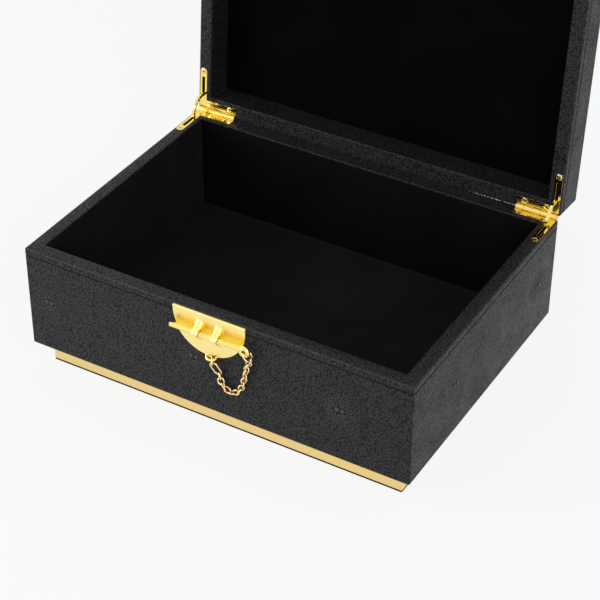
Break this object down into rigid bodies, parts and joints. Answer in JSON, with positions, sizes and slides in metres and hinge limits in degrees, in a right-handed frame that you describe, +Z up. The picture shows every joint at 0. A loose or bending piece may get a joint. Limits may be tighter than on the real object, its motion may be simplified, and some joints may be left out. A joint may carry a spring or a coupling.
{
  "type": "hinged jewellery box",
  "caption": "Low leather-covered box with a deep hinged lid on quadrant stop hinges, closed by a sliding bolt on a chain, on a metal-banded plinth.",
  "frame": {"origin": "centre of the felt foot, on the surface the box stands on", "axes": "+X to the right seen from the front, +Y from the clasp side to the hinge side, +Z up"},
  "size_m": [0.3, 0.2752, 0.3274],
  "materials": {
    "leather": "shagreen grain with larger pearls, satin sheen",
    "velvet": "short-pile velvet",
    "boards": "bare board, hidden",
    "plinth_brass": "satin gilt",
    "clasp_brass": "polished gilt",
    "hinge_brass": "polished gilt",
    "screw_brass": "bright",
    "felt": "pressed felt"
  },
  "bodies": {
    "base": {"base_front_wall": "boards", "base_back_wall": "boards", "base_left_wall": "boards", "base_right_wall": "boards", "base_floor_board": "boards", "base_leather_cover": "leather", "base_lining_front": "velvet", "base_lining_back": "velvet", "base_lining_left": "velvet", "base_lining_right": "velvet", "base_floor_pad": "velvet", "plinth_core": "boards", "plinth_band": "plinth_brass", "plinth_screws": "screw_brass", "foot_felt": "felt", "base_clasp_plate": "clasp_brass", "base_clasp_screws": "screw_brass", "chain_anchor_rings": "clasp_brass", "clasp_chain": "clasp_brass", "base_hinge_leaf_left": "hinge_brass", "base_hinge_leaf_right": "hinge_brass", "base_hinge_screws": "screw_brass", "hinge_pin_left": "hinge_brass", "hinge_pin_right": "hinge_brass"},
    "lid": {"lid_front_wall": "boards", "lid_back_wall": "boards", "lid_left_wall": "boards", "lid_right_wall": "boards", "lid_top_board": "boards", "lid_leather_cover": "leather", "lid_inner_leather": "leather", "lid_velvet_panel": "velvet", "lid_clasp_plate": "clasp_brass", "lid_clasp_screws": "screw_brass", "lid_hinge_leaf_left": "hinge_brass", "lid_hinge_leaf_right": "hinge_brass", "lid_hinge_screws": "screw_brass"},
    "bolt": {"clasp_bolt": "clasp_brass", "bolt_jump_ring": "clasp_brass"},
    "left_stay": {"hinge_stay_left": "hinge_brass"},
    "right_stay": {"hinge_stay_right": "hinge_brass"}
  },
  "joints": [
    {"name": "lid_hinge", "type": "hinge", "parent": "base", "child": "lid", "pos_m": [0, 0.11, 0.0988], "axis": [1, 0, 0], "range_deg": [0, 94.5]},
    {"name": "left_stay_slide", "type": "hinge", "parent": "base", "child": "left_stay", "pos_m": [0, 0.11, 0.0988], "axis": [1, 0, 0], "range_deg": [0, 47.25]},
    {"name": "right_stay_slide", "type": "hinge", "parent": "base", "child": "right_stay", "pos_m": [0, 0.11, 0.0988], "axis": [1, 0, 0], "range_deg": [0, 47.25]},
    {"name": "bolt_slide", "type": "slide", "parent": "base", "child": "bolt", "axis": [1, 0, 0], "range_m": [0, 0.032], "deforming": ["clasp_chain"]}
  ],
  "couplings": [
    {"joint": "left_stay_slide", "follows": "lid_hinge", "ratio": 0.5},
    {"joint": "right_stay_slide", "follows": "lid_hinge", "ratio": 0.5}
  ]
}
